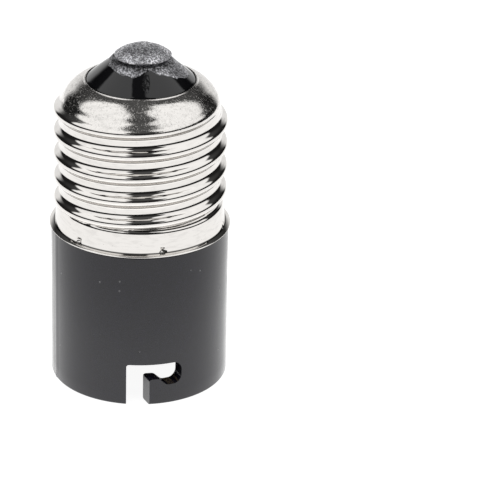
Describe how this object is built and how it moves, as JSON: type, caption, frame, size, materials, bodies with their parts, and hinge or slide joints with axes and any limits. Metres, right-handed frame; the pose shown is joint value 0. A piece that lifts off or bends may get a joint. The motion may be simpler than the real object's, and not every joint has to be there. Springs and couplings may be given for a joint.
{
  "type": "lamp socket adapter",
  "caption": "Adapter with a screw cap above and a bayonet lamp socket below, with sprung contacts inside a black moulded body.",
  "frame": {"origin": "centre of the mouth rim, in the plane that the adapter stands on", "axes": "+Z from the lamp mouth up to the centre contact, -Y through the entry of the first bayonet slot"},
  "size_m": [0.0274, 0.0274, 0.0531],
  "materials": {
    "black_plastic": "satin black moulding",
    "nickel": "bright nickel plate on rolled brass sheet",
    "black_glass": "glossy black glass",
    "solder": "dull mottled solder",
    "brass": "turned and stamped brass",
    "spring_steel": "bright spring wire",
    "fibre_board": "brown fibre board",
    "tinned_lead": "tinned copper wire"
  },
  "bodies": {
    "adapter": {"housing": "black_plastic", "screw_shell": "nickel", "glass_insulator": "black_glass", "contact_eyelet": "brass", "centre_solder": "solder", "spring_a": "spring_steel", "spring_b": "spring_steel", "terminal_a": "brass", "terminal_b": "brass", "retainer_plate": "fibre_board", "lead_centre": "tinned_lead", "lead_shell": "tinned_lead"},
    "contact_a": {"plunger_a": "brass"},
    "contact_b": {"plunger_b": "brass"}
  },
  "joints": [
    {"name": "plunger_a_slide", "type": "slide", "parent": "adapter", "child": "contact_a", "axis": [0, 0, 1], "range_m": [0, 0.0032], "stiffness_N_per_m": 600, "springref_m": -0.004, "deforming": ["spring_a"]},
    {"name": "plunger_b_slide", "type": "slide", "parent": "adapter", "child": "contact_b", "axis": [0, 0, 1], "range_m": [0, 0.0032], "stiffness_N_per_m": 600, "springref_m": -0.004, "deforming": ["spring_b"]}
  ]
}
